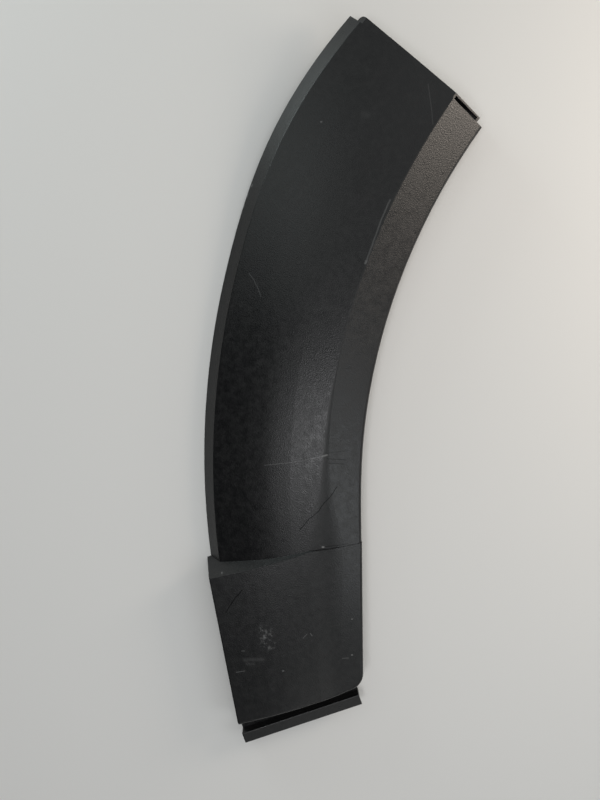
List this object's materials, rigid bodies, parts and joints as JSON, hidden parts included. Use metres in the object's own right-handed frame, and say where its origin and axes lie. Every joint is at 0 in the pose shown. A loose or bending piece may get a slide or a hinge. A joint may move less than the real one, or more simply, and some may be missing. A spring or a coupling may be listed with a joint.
{
  "type": "bumper molding",
  "caption": "Curved black plastic bumper molding for a wheel arch, with a creased lip, a bevelled outer edge, a stepped lower panel, a tongue at its top end and a hooked lower flange.",
  "frame": {"origin": "middle of the part's box, at the level of the edges it rests on", "axes": "+Z out of the visible face, +Y towards the tongue that meets the fender, +X towards the wheel"},
  "size_m": [0.1804, 0.4762, 0.033],
  "materials": {
    "grained_black_plastic": "fine grain, satin, lightly scratched and scuffed"
  },
  "bodies": {
    "root": {"arch_molding": "grained_black_plastic"}
  },
  "joints": []
}
